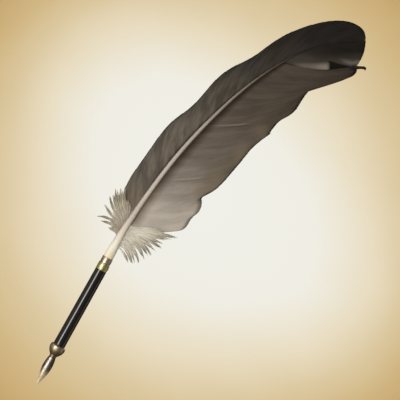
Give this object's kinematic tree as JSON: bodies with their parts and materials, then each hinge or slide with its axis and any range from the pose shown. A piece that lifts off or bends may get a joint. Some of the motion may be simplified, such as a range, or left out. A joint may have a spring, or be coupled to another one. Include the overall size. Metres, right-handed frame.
{
  "type": "quill pen",
  "caption": "Quill dip pen: a curved wing feather in a black lacquered barrel with brass bands, a turned brass collar and a slit steel nib that pulls out of its socket.",
  "frame": {"origin": "the nib's writing point, on the barrel's axis", "axes": "+Z along the barrel from the nib towards the feather; the feather bends towards +X; its upper face and the nib's convex face look towards -Y"},
  "size_m": [0.1059, 0.0217, 0.3055],
  "materials": {
    "nib_steel": "polished, stamped sheet",
    "spring_steel": "plain sheet",
    "aged_brass": "turned, dulled with age",
    "bright_brass": "turned and polished",
    "black_lacquer": "high gloss lacquer on brass tube",
    "fibre_washer": "pressed fibre",
    "glue": "set glue",
    "quill_horn": "clear horny quill",
    "shaft_horn": "satin feather shaft",
    "brown_vane": "fine combed barbs",
    "pale_down": "soft down"
  },
  "bodies": {
    "holder": {"barrel_tube": "black_lacquer", "front_bush": "bright_brass", "rear_ferrule": "bright_brass", "quill_ring": "aged_brass", "feather_glue": "glue", "calamus": "quill_horn", "rachis": "shaft_horn", "leading_vane": "brown_vane", "trailing_vane": "brown_vane", "tip_vane": "brown_vane", "tip_curl": "brown_vane", "leading_down": "pale_down", "trailing_down": "pale_down"},
    "washer": {"collar_washer": "fibre_washer"},
    "collar": {"front_collar": "aged_brass", "nib_socket": "aged_brass", "nib_spring": "spring_steel"},
    "nib": {"nib_body": "nib_steel"},
    "left_tine": {"nib_tine_left": "nib_steel"},
    "right_tine": {"nib_tine_right": "nib_steel"}
  },
  "joints": [
    {"name": "collar_travel", "type": "slide", "parent": "holder", "child": "washer", "axis": [0, 0, -1], "range_m": [0, 0.009]},
    {"name": "collar_turn", "type": "hinge", "parent": "washer", "child": "collar", "pos_m": [0, 0, 0.0283], "axis": [0, 0, -1], "range_deg": [0, 4320]},
    {"name": "nib_pull", "type": "slide", "parent": "collar", "child": "nib", "axis": [0, 0, -1], "range_m": [0, 0.0115]},
    {"name": "left_tine_flex", "type": "hinge", "parent": "nib", "child": "left_tine", "pos_m": [-0.00264, -0.00021, 0.0115], "axis": [-0.6, 0.8, 0], "range_deg": [0, 3]},
    {"name": "right_tine_flex", "type": "hinge", "parent": "nib", "child": "right_tine", "pos_m": [0.00264, -0.00021, 0.0115], "axis": [-0.6, -0.8, 0], "range_deg": [0, 3]}
  ],
  "couplings": [
    {"joint": "collar_turn", "follows": "collar_travel", "rad_per_m": 8377.6},
    {"joint": "right_tine_flex", "follows": "left_tine_flex", "ratio": 1}
  ]
}
